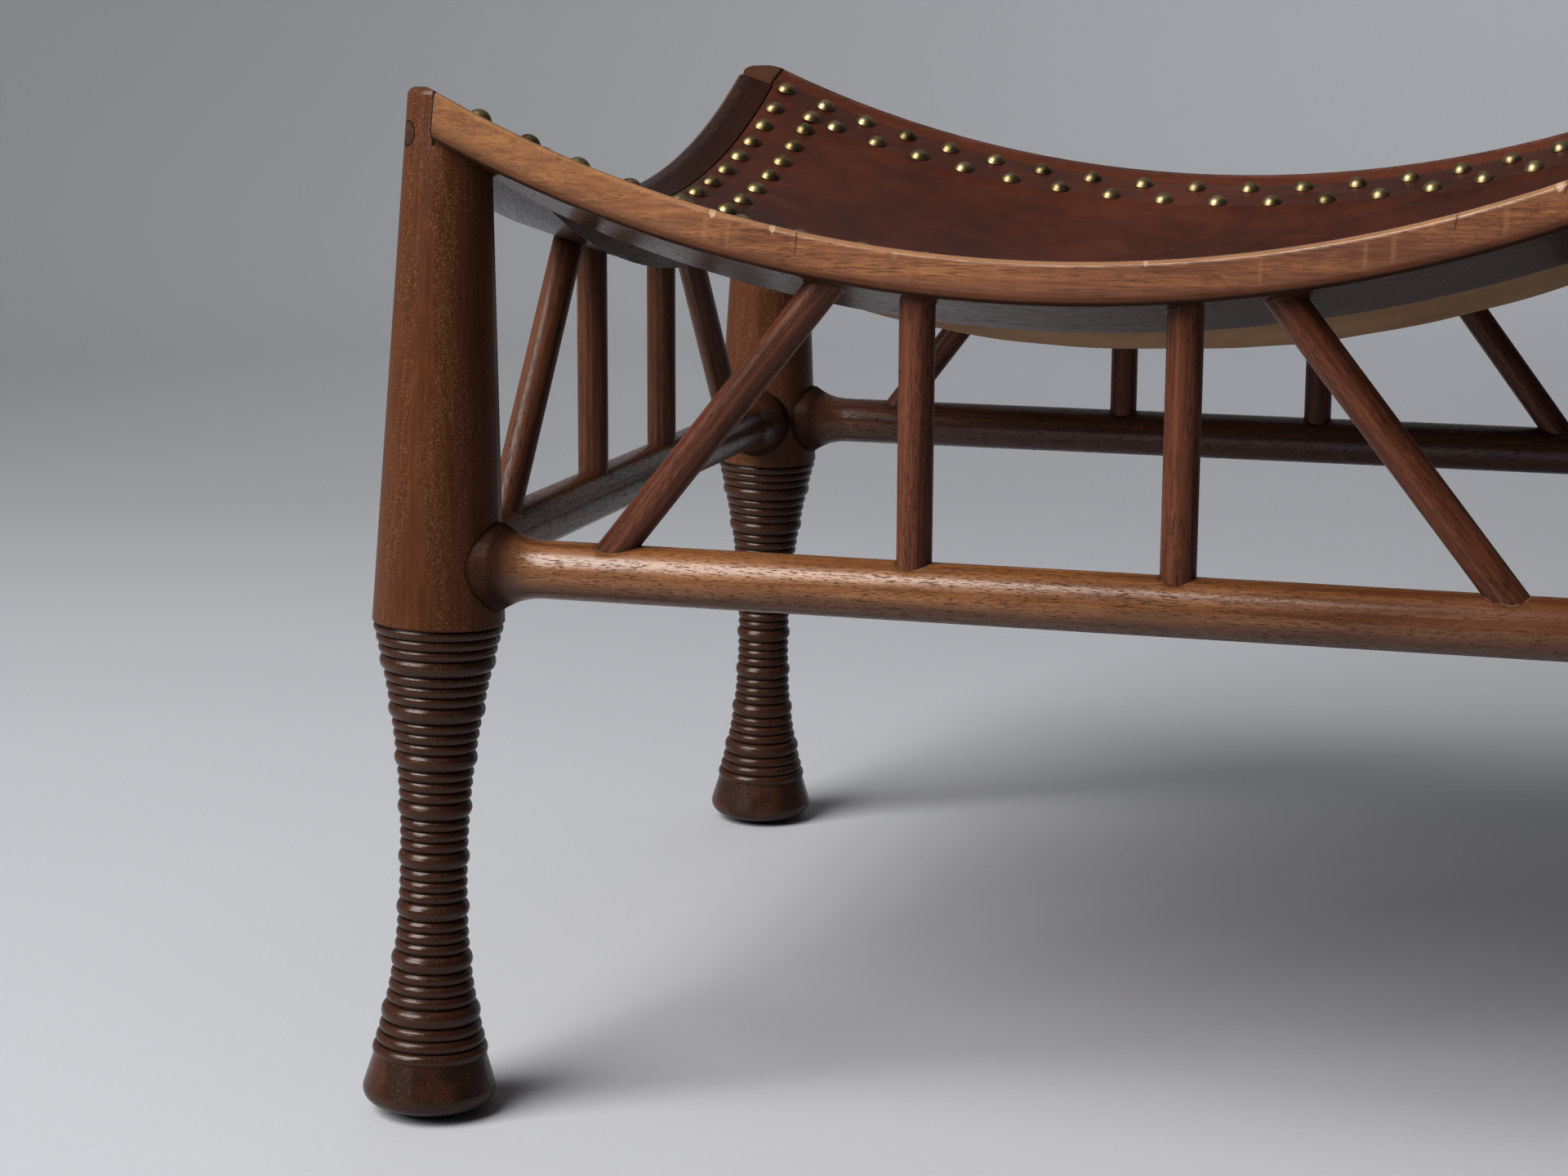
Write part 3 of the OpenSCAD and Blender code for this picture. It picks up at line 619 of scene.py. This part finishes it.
# A mark goes from none to full over its span: of distance from there, of depth, of width or along the rail
WORN_HIGHLIGHT_SPAN, NICK_SPAN = (0.0025, 0.0008), (0.0038, 0.0012)
LOW_EDGE_SHADE_DEPTHS, TOP_SHADE_DEPTHS, UNDER_SHADE_DEPTHS = (0.0085, 0.0135), (0.0016, 0.0004), (0.0135, 0.0146)
LOW_EDGE_SHADE_WIDTHS, TOP_SHADE_WIDTHS = (0.004, 0.001), (0.0035, 0.0075)
NARROW_SPAN, FRONT_FALLOFF_SPAN, FRONT_LEFT_LIGHT_SPAN = (-0.08, -0.20), (-0.17, 0.03), (-0.08, -0.19)
NARROW_BY = 0.0008
GAP_SPAN = (-0.0006, -0.0003)
FRONT_WORN_HIGHLIGHT, RAIL_WORN_HIGHLIGHT = (0.56, 0.32, 0.16), (0.20, 0.078, 0.038)
FRONT_FALLOFF_SHADE, FRONT_LEFT_LIGHT, FRONT_FINE = (0.090, 0.028, 0.012), (0.400, 0.205, 0.080), (0.120, 0.042, 0.018)
LOW_EDGE_SHADE_TONE, UNDER_SHADE_TONE, NICK_TONE = (0.070, 0.022, 0.010), (0.022, 0.009, 0.006), (0.070, 0.024, 0.011)
TOP_SHADE_TONE, LEFT_TOP_SHADE_TONE = (0.120, 0.030, 0.012), (0.030, 0.011, 0.006)


def mark_front_face(s, look, along, depth):
    """Chips out of the front rail's upper edge, short cracks below it, and pale upright rubs."""
    uneven = s.vary(s.noise(s.place, 900.0, 2.0), 0.0006)
    chips, cracks, rubs = [], [], []
    for at, size in CHIPS:
        gap = s.vector("LENGTH", s.combine(s.sub(along, at), s.mul(s.sub(depth, CHIP_DEPTH), 0.7), 0.0))
        chips.append(s.step(s.add(gap, uneven), size + 0.0005, size - 0.0003))
    for at, lean, length in CRACKS:
        place = s.add(s.sub(along, at), s.add(s.mul(depth, lean), uneven))
        reach = s.mul(s.step(depth, length, length * 0.7), s.step(depth, *CRACK_TOP_SPAN))
        cracks.append(s.mul(s.line_mark(place, 0.0, *CRACK_LINE), reach))
    rub_reach = s.mul(s.step(depth, *RUB_LOW_SPAN), s.step(depth, *RUB_TOP_SPAN))
    for at, size in RUBS:
        rubs.append(s.mul(s.line_mark(s.add(along, uneven), at, size * 0.2, size), rub_reach))
    look.mark(s.most(rubs), RUB_TONE, 0.14)
    look.mark(s.most(chips), CHIP_TONE, 0.55, height=-2.5)
    look.mark(s.most(cracks), CRACK_TONE, 0.70, height=-3.0)


def rail_marks(side):
    """Pale edges, partly wear and partly a painted highlight, nicks, painted shade on the redder top face,
    the lower edge and the polished underside, painted light along the front rail, and a black end joint.
    """
    front = side == "front"
    end = HALF_OF[side] - NOTCH_INSET - (0.0 if side in LONG_SIDES else SIDE_SET_BACK)

    def marks(s, grain, look):
        along, depth, width = arc_place(s, side)
        near_edge = s.add(s.size_of(s.sub(depth, WORN_HIGHLIGHT_DEPTH)), s.size_of(s.sub(width, WORN_HIGHLIGHT_WIDTH)))
        if front:
            near_edge = s.add(near_edge, s.mul(s.step(along, *NARROW_SPAN), NARROW_BY))
        uneven = s.vary(s.noise(grain.local, 60.0, 3.0), 0.002)
        worn_and_highlight = s.step(s.add(near_edge, uneven), *WORN_HIGHLIGHT_SPAN)
        low_edge_shade = s.mul(s.step(depth, *LOW_EDGE_SHADE_DEPTHS), s.step(width, *LOW_EDGE_SHADE_WIDTHS))
        top = s.mul(s.step(depth, *TOP_SHADE_DEPTHS), s.step(width, *TOP_SHADE_WIDTHS))
        under = s.step(depth, *UNDER_SHADE_DEPTHS)
        nick_at = s.noise(s.combine(s.mul(along, 75.0), 3.0, 1.0), 1.0, 1.0)
        nicks = s.mul(s.step(nick_at, 0.66, 0.74), s.step(near_edge, *NICK_SPAN))
        gap = s.step(s.sub(s.size_of(along), end), *GAP_SPAN)
        look.sheen = 0.9
        if front:
            # Painted light: the front rail darker towards its right end, and lighter and yellower at its
            # left end
            look.mark(s.step(along, *FRONT_FALLOFF_SPAN), FRONT_FALLOFF_SHADE, 0.34)
            look.mark(s.step(along, *FRONT_LEFT_LIGHT_SPAN), FRONT_LEFT_LIGHT, 0.30)
            look.mark(s.step(grain.fine, 0.51, 0.61), FRONT_FINE, 0.46)
        # Pale upper edge: partly wear, partly a painted highlight
        look.mark(worn_and_highlight, FRONT_WORN_HIGHLIGHT if front else RAIL_WORN_HIGHLIGHT, 0.38, rough=-0.10, sheen=0.9)
        # Painted shade: darker along the face's lower edge
        look.mark(low_edge_shade, LOW_EDGE_SHADE_TONE, 0.65)
        # Painted shade on the top face, redder, darkest on the left rail
        look.mark(top, LEFT_TOP_SHADE_TONE if side == "left" else TOP_SHADE_TONE, 0.60, rough=0.18, sheen=-0.60)
        # Painted shade on the polished underside
        look.mark(under, UNDER_SHADE_TONE, 0.80, rough=-0.12, sheen=-0.64)
        look.mark(s.mul(wax_rings(s, side), under), WAX, 0.35)
        if front:
            mark_front_face(s, look, along, depth)
        look.mark(nicks, NICK_TONE, 0.40, height=-3.0)
        look.mark(gap, GRIME_AND_SHADE, 0.95, rough=0.4)

    return marks


def brass():
    """Antique brass with dark tarnish, and dirt and painted shade where the heads meet the leather."""
    s = Shader("antique_brass")
    tarnish = s.noise(s.place, 420.0, 3.0, 0.6)
    spots = s.noise(s.place, 1500.0, 2.0, 0.6)
    each = s.noise(s.place, 60.0, 0.0)
    colour = s.ramp(
        s.add(s.mul(tarnish, 0.8), s.vary(each, 0.6)),
        ((0.20, (0.150, 0.112, 0.055)), (0.42, (0.300, 0.232, 0.125)), (0.62, (0.410, 0.325, 0.190))),
    )
    # Painted shade with dirt: darker where the heads meet the leather
    colour = s.tint(colour, s.step(s.crevice(0.0025), 0.45, 0.90), 0.8, (0.030, 0.018, 0.008))
    rough = s.add(0.33, s.mul(tarnish, 0.20))
    height = s.add(s.mul(tarnish, 0.6), s.mul(spots, 0.5))
    return s.finish(colour, rough, s.bump(height, 0.00006, 0.5), Metallic=1.0)


def give(node, material):
    """Set the material of a CAD node."""
    mesh = nodes[node].data
    mesh.materials.clear()
    mesh.materials.append(material)


# Points that the growth rings run round. A leg's is given from the middle of its stretchers' joints
LEG_PITH_OFF = Vector((0.0, 0.055, 0.0))
RAIL_PITH, STRETCHER_PITH = (0.0, 0.12, -0.1), (0.0, 0.1, 0.1)
LEG_PORES = (0.36, 0.23, 0.13)
# Painted light and shade: a lit tone for the front rail, a shaded one for the left rail
RAIL_TONES = {"front": "lit_front_rail", "back": "rail", "left": "shaded_left_rail", "right": "rail"}
LEG_SEED, PEG_SEED, RAIL_SEED, STRETCHER_SEED, SPINDLE_SEED = 11, 31, 41, 51, 100


def dress_legs():
    """Legs with pale pores, and their dark pegs."""
    for i, (corner, (sx, sy)) in enumerate(CORNERS.items()):
        give("leg_" + corner, wood(
            "wood_leg_" + corner, leg_axis(sx, sy), LEG_SEED + i, "leg",
            pith=leg_point(sx, sy, STRETCHER_H) + LEG_PITH_OFF, ring=0.0014, cross_share=0.02, spread=0.66,
            pore_scale=950.0, pore_tone=LEG_PORES, pore_mix=0.26,
            gloss=0.34, shine=0.40, coat=0.0, marks=leg_marks(sx, sy),
        ))
        give("peg_" + corner, wood("wood_peg_" + corner, (sx, sy, 0), PEG_SEED + i, "peg", gloss=0.4))


def dress_sides():
    """Rails, stretchers and spindles, with painted light and shade: lighter in front, darker on the shaded
    left side and on the stretchers other than the front one.
    """
    for i, side in enumerate(SIDES):
        axis = (1, 0, 0) if side in LONG_SIDES else (0, 1, 0)
        give("rail_" + side, wood(
            "wood_rail_" + side, axis, RAIL_SEED + i, RAIL_TONES[side],
            pith=RAIL_PITH, ring=0.0046, ring_share=0.07, cross_share=0.16, sway=0.008,
            pore_scale=105.0, crowding=0.28,
            gloss=0.32, shine=0.30, coat=0.10, marks=rail_marks(side),
        ))
        # Painted shade: every stretcher but the front one takes a darker tone
        give("stretcher_" + side, wood(
            "wood_stretcher_" + side, axis, STRETCHER_SEED + i,
            "stretcher" if side == "front" else "shaded_stretcher",
            pith=STRETCHER_PITH, ring=0.0040, pore_scale=300.0, crowding=0.20,
            shine=0.55, coat=0.25, softened=0.0035, marks=stretcher_marks(side),
        ))
        for k in SPINDLES:
            give(f"spindle_{side}_{k}", wood(
                f"wood_spindle_{side}_{k}", spindle_line(side, k)[1], SPINDLE_SEED + 10 * i + k,
                "shaded_left_spindle" if side == "left" else "spindle", gloss=0.34, coat=0.03,
            ))


def dress_nails():
    """One brass for all the rows of nails."""
    material = brass()
    for name in nodes:
        if name.startswith("nails_"):
            give(name, material)


# The leather's own sizes: it hangs deeper than the solid, and its rim reaches a little further out
SAG, RIM_OUT = 0.0038, 0.0003
GRID_X, GRID_Y = 180, 168
UNDER_GAP = 0.00002
# Waves where it hangs free, at full height this far inside the rails: heights, lengths and number
HUNG_REACH = 0.05
BROAD_WAVE_H, FINE_WAVE_H = 0.0007, 0.00018
BROAD_WAVE_L, FINE_WAVE_L = 0.16, 0.05
WAVES = 7
# Dimples at the nails, the low ridge round each, and the turned-down rim
DIMPLE_R, DIMPLE_DEPTH = 0.0062, 0.00018
RIDGE_R, RIDGE_W, RIDGE_H = 0.0085, 0.0028, 0.00022
RIM_TURN, RIM_DROP = 0.0040, 0.0009


def leather_face():
    """Oxblood hide, cloudy and finely pebbled, with dry scuffs, and grime and painted shade round the nails.
    """
    s = Shader("oxblood_leather")
    warp = s.noise(s.place, 30.0, 2.0, colour=True)
    place = s.vector("ADD", s.place, s.vector("MULTIPLY", warp, (0.004, 0.004, 0.004)))
    cloud = s.noise(place, 9.0, 5.0, 0.62)
    patch = s.noise(place, 45.0, 4.0, 0.65)
    crease = s.noise(place, 260.0, 4.0, 0.7)
    scuff = s.step(s.noise(s.vector("MULTIPLY", place, (20.0, 70.0, 20.0)), 1.0, 3.0), 0.60, 0.74)
    colour = s.ramp(s.add(s.mul(cloud, 0.62), s.mul(patch, 0.38)), (
        (0.34, (0.034, 0.010, 0.006)),
        (0.46, (0.064, 0.018, 0.010)),
        (0.57, (0.096, 0.027, 0.014)),
        (0.70, (0.132, 0.042, 0.021)),
    ))
    colour = s.tint(colour, scuff, 0.30, (0.150, 0.052, 0.030))
    # Painted shade with grime: darker in the dimples round the nails
    colour = s.tint(colour, s.step(s.crevice(CREVICE_SHADE_REACH), 0.45, 0.95), 0.6, (0.012, 0.005, 0.003))
    rough = s.add(0.44, s.vary(patch, 0.30))
    height = s.add(s.mul(s.cells(place, 1100.0), 0.45), s.mul(crease, 0.8))
    return s.finish(colour, rough, s.bump(height, 0.00010, 0.45), Specular_IOR_Level=0.15)


def leather_under():
    """The hide's tan and fibrous flesh side."""
    s = Shader("leather_flesh_side")
    fibre = s.noise(s.place, 700.0, 5.0, 0.75)
    cloud = s.noise(s.place, 14.0, 4.0, 0.6)
    colour = s.ramp(
        s.add(s.mul(fibre, 0.45), s.mul(cloud, 0.55)),
        ((0.30, (0.230, 0.136, 0.076)), (0.50, (0.350, 0.220, 0.128)), (0.70, (0.460, 0.305, 0.190))),
    )
    return s.finish(colour, 0.85, s.bump(fibre, 0.0004, 0.6), Specular_IOR_Level=0.05)


def leather_edge():
    """The hide's cut edge, stained dark."""
    s = Shader("leather_cut_edge")
    fibre = s.noise(s.place, 900.0, 4.0, 0.7)
    colour = s.ramp(fibre, ((0.3, (0.030, 0.012, 0.008)), (0.7, (0.085, 0.034, 0.020))))
    return s.finish(colour, 0.7, s.bump(fibre, 0.0003, 0.5))


def bed_h(x, y):
    """Height of what the leather lies on: the nearer rail, or a hung surface between the rails."""
    in_x, in_y = HALF_W - abs(x), HALF_D - abs(y)
    end_side = "front" if y < 0 else "back"
    if min(in_x, in_y) <= RAIL_IN:
        on_end, on_flank = top_h(end_side, x, in_y), top_h("left", y, in_x)
        if abs(in_x - in_y) < 1e-9:
            return max(on_end, on_flank)
        return on_end if in_y < in_x else on_flank
    u, v = (x / INNER_X + 1) / 2, (y / INNER_Y + 1) / 2
    front = top_h("front", x, RAIL_IN) - top_h("front", INNER_X, RAIL_IN)
    back = top_h("back", x, RAIL_IN) - top_h("back", INNER_X, RAIL_IN)
    sag = 16 * SAG * u * (1 - u) * v * (1 - v)
    return (1 - v) * front + v * back + top_h("left", y, RAIL_IN) - sag


def spread(t):
    """Places from -1 to 1, set a little closer towards the ends."""
    return t + NAIL_SPREAD * math.sin(math.pi * t) / math.pi


def nail_places():
    """Plan positions of the nails' middles. The long sides' rows have the nails at the corners."""
    places = []
    for side in SIDES:
        n, half, long_side = SPACES[side], HALF_OF[side], side in LONG_SIDES
        skip = 0 if long_side else 1
        row = half - OUTER_ROW
        nails = [(row * spread(2 * i / n - 1), OUTER_ROW) for i in range(skip, n - skip + 1)]
        nails += [(row * spread((2 * i + 1) / n - 1), INNER_ROW) for i in range(1, n - 1)]
        if long_side:
            nails += [(end * (half - INNER_ROW), INNER_ROW) for end in (-1, 1)]
        places += [on_side(side, along, ACROSS_OF[side] - inward)[:2] for along, inward in nails]
    return places


def smooth(t):
    """0 at 0, 1 at 1, and a smooth turn between them."""
    t = np.clip(t, 0.0, 1.0)
    return t * t * (3 - 2 * t)


def wave_field(x, y, seed, length):
    """A gentle field of a few sine waves of about this length, from -1 to 1 or so."""
    rng = random.Random(seed)
    total = np.zeros_like(x)
    for _ in range(WAVES):
        angle, k = rng.uniform(0, math.pi), rng.uniform(0.6, 1.5) / length
        total += np.sin((x * math.cos(angle) + y * math.sin(angle)) * k * 2 * math.pi + rng.uniform(0, 6.3))
    return total / WAVES**0.5 / 1.2


def leather_heights(gx, gy, rim_x, rim_y):
    """Heights of the leather's face and underside over a grid of places."""
    bed = np.array([[float(bed_h(x, y)) for x, y in zip(*row)] for row in zip(gx, gy)])
    inside = np.minimum(INNER_X - np.abs(gx), INNER_Y - np.abs(gy))
    loose = BROAD_WAVE_H * wave_field(gx, gy, 3, BROAD_WAVE_L)
    loose += FINE_WAVE_H * wave_field(gx, gy, 4, FINE_WAVE_L)
    hung = bed + smooth(inside / HUNG_REACH) * loose
    dimple, ridge = np.zeros_like(bed), np.zeros_like(bed)
    for px, py in nail_places():
        off_nail = np.hypot(gx - px, gy - py)
        dimple = np.maximum(dimple, np.exp(-((off_nail / DIMPLE_R) ** 2)))
        ridge = np.maximum(ridge, np.exp(-(((off_nail - RIDGE_R) / RIDGE_W) ** 2)))
    face = hung + LEATHER_T - REBATE + RIDGE_H * ridge * (1 - dimple) - DIMPLE_DEPTH * dimple
    edge = np.minimum(rim_x - np.abs(gx), rim_y - np.abs(gy))
    face -= RIM_DROP * (1 - smooth(edge / RIM_TURN)) ** 2
    return face, hung - REBATE + UNDER_GAP


def sheet_faces():
    """Faces of a closed sheet over the grid, and their slots: 0 on the face, 1 under it, 2 on the edge."""
    row, layer = GRID_X + 1, (GRID_X + 1) * (GRID_Y + 1)
    faces, slots = [], []
    for j in range(GRID_Y):
        for i in range(GRID_X):
            a = j * row + i
            faces.append((a, a + 1, a + row + 1, a + row))
            faces.append((layer + a, layer + a + row, layer + a + row + 1, layer + a + 1))
            slots += [0, 1]
    rim = list(range(GRID_X)) + [GRID_X + j * row for j in range(GRID_Y)]
    rim += [layer - 1 - i for i in range(GRID_X)] + [(GRID_Y - j) * row for j in range(GRID_Y)]
    for a, b in zip(rim, rim[1:] + rim[:1]):
        faces.append((a, a + layer, b + layer, b))
        slots.append(2)
    return faces, slots


def make_leather():
    """One closed sheet of hide, pressed in at its nails, in place of the CAD part's."""
    rim_x, rim_y = HALF_W - MARGIN + RIM_OUT, HALF_D - MARGIN + RIM_OUT
    gx, gy = np.meshgrid(np.linspace(-rim_x, rim_x, GRID_X + 1), np.linspace(-rim_y, rim_y, GRID_Y + 1))
    layers = [np.stack([gx, gy, h], -1).reshape(-1, 3) for h in leather_heights(gx, gy, rim_x, rim_y)]
    faces, slots = sheet_faces()
    mesh = bpy.data.meshes.new("leather_sheet")
    mesh.from_pydata(np.concatenate(layers).tolist(), [], faces)
    mesh.validate()
    for material in (leather_face(), leather_under(), leather_edge()):
        mesh.materials.append(material)
    mesh.polygons.foreach_set("material_index", slots)
    mesh.polygons.foreach_set("use_smooth", [slot != 2 for slot in slots])
    mesh.update()
    sheet = bpy.data.objects.new("leather_sheet", mesh)
    scene.collection.objects.link(sheet)
    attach(sheet, "root")
    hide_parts("seat_leather")


# Studio: a round floor that curves up into a backdrop
FLOOR_R, SWEEP_R = 2.4, 1.4
FLOOR_RINGS, SWEEP_STEPS, AROUND = 4, 12, 96
WALL_HEIGHTS = (2.2, 4.2)
# Painted light and shade on the paper: it nears a lighter tone far behind, and a dark tone in front and on
# both sides, over these spans
PAPER_PAINTED_LIGHT, PAPER_PAINTED_SHADE = (0.77, 0.79, 0.83), (0.03, 0.03, 0.03)
BEHIND_SPAN, FRONT_SPAN = (1.0, 2.6), (-0.8, -1.9)
LEFT_SPAN, RIGHT_FLOOR_SPAN = (0.1, -2.6), (1.0, 2.3)


def floor_material():
    """Pale grey paper with painted light and shade: lighter far behind, darker to the far left, the front
    and the right.
    """
    s = Shader("studio_floor")
    grit = s.noise(s.place, 260.0, 2.0)
    cloud = s.noise(s.place, 1.3, 2.0)
    x, y, _ = s.split(s.place)
    colour = s.ramp(
        s.add(s.mul(grit, 0.2), s.mul(cloud, 0.8)),
        ((0.3, (0.532, 0.543, 0.576)), (0.7, (0.566, 0.577, 0.611))),
    )
    # Painted light far behind, and painted shade to the left, the front and the right
    colour = s.tint(colour, s.step(y, *BEHIND_SPAN), 0.9, PAPER_PAINTED_LIGHT)
    colour = s.tint(colour, s.step(x, *LEFT_SPAN), 0.43, PAPER_PAINTED_SHADE)
    beside = s.most([s.step(y, *FRONT_SPAN), s.step(x, *RIGHT_FLOOR_SPAN)])
    colour = s.tint(colour, beside, 0.85, PAPER_PAINTED_SHADE)
    return s.finish(colour, 0.8, s.bump(grit, 0.0002, 0.2), Specular_IOR_Level=0.2)


def make_floor():
    """A floor that curves up on every side, so that other views have a backdrop too."""
    profile = [(FLOOR_R * k / FLOOR_RINGS, 0.0) for k in range(1, FLOOR_RINGS + 1)]
    for k in range(1, SWEEP_STEPS + 1):
        a = math.pi / 2 * k / SWEEP_STEPS
        profile.append((FLOOR_R + SWEEP_R * math.sin(a), SWEEP_R * (1 - math.cos(a))))
    profile += [(FLOOR_R + SWEEP_R, h) for h in WALL_HEIGHTS]
    angles = [2 * math.pi * i / AROUND for i in range(AROUND)]
    vertices = [(0.0, 0.0, 0.0)]
    vertices += [(r * math.cos(a), r * math.sin(a), z) for r, z in profile for a in angles]
    faces = [(0, 1 + i, 1 + (i + 1) % AROUND) for i in range(AROUND)]
    for ring in range(len(profile) - 1):
        low, high = 1 + ring * AROUND, 1 + (ring + 1) * AROUND
        for i in range(AROUND):
            j = (i + 1) % AROUND
            faces.append((low + i, high + i, high + j, low + j))
    mesh = bpy.data.meshes.new("studio_floor")
    mesh.from_pydata(vertices, [], faces)
    mesh.materials.append(floor_material())
    mesh.polygons.foreach_set("use_smooth", [True] * len(faces))
    floor = bpy.data.objects.new("studio_floor", mesh)
    scene.collection.objects.link(floor)


def area_light(name, place, aim, size, power, tint):
    """A soft light that faces aim. Its size is in metres and its power in watts."""
    data = bpy.data.lights.new(name, "AREA")
    data.shape = "RECTANGLE"
    data.size, data.size_y = size
    data.energy, data.color = power, tint
    light = bpy.data.objects.new(name, data)
    turn = (Vector(aim) - Vector(place)).to_track_quat("-Z", "Y").to_matrix().to_4x4()
    light.matrix_world = Matrix.Translation(place) @ turn
    scene.collection.objects.link(light)


def make_world(tint, strength):
    """A faint even light from all round."""
    world = bpy.data.worlds.new("world")
    world.use_nodes = True
    background = world.node_tree.nodes["Background"]
    background.inputs[0].default_value = (*tint, 1.0)
    background.inputs[1].default_value = strength
    scene.world = world


make_camera()
scene.view_settings.view_transform = "Standard"
scene.view_settings.gamma = 0.85

dress_legs()
dress_sides()
dress_nails()
make_leather()

make_floor()
area_light(
    "key", place=(-1.65, -1.95, 2.35), aim=(0.0, 0.0, 0.2),
    size=(2.15, 2.45), power=180.0, tint=(1.0, 0.99, 0.97),
)
area_light(
    "overhead", place=(0.2, 0.6, 2.7), aim=(0.0, 0.2, 0.0),
    size=(3.2, 2.6), power=9.0, tint=(0.96, 0.98, 1.0),
)
make_world(tint=(0.90, 0.95, 1.0), strength=0.04)
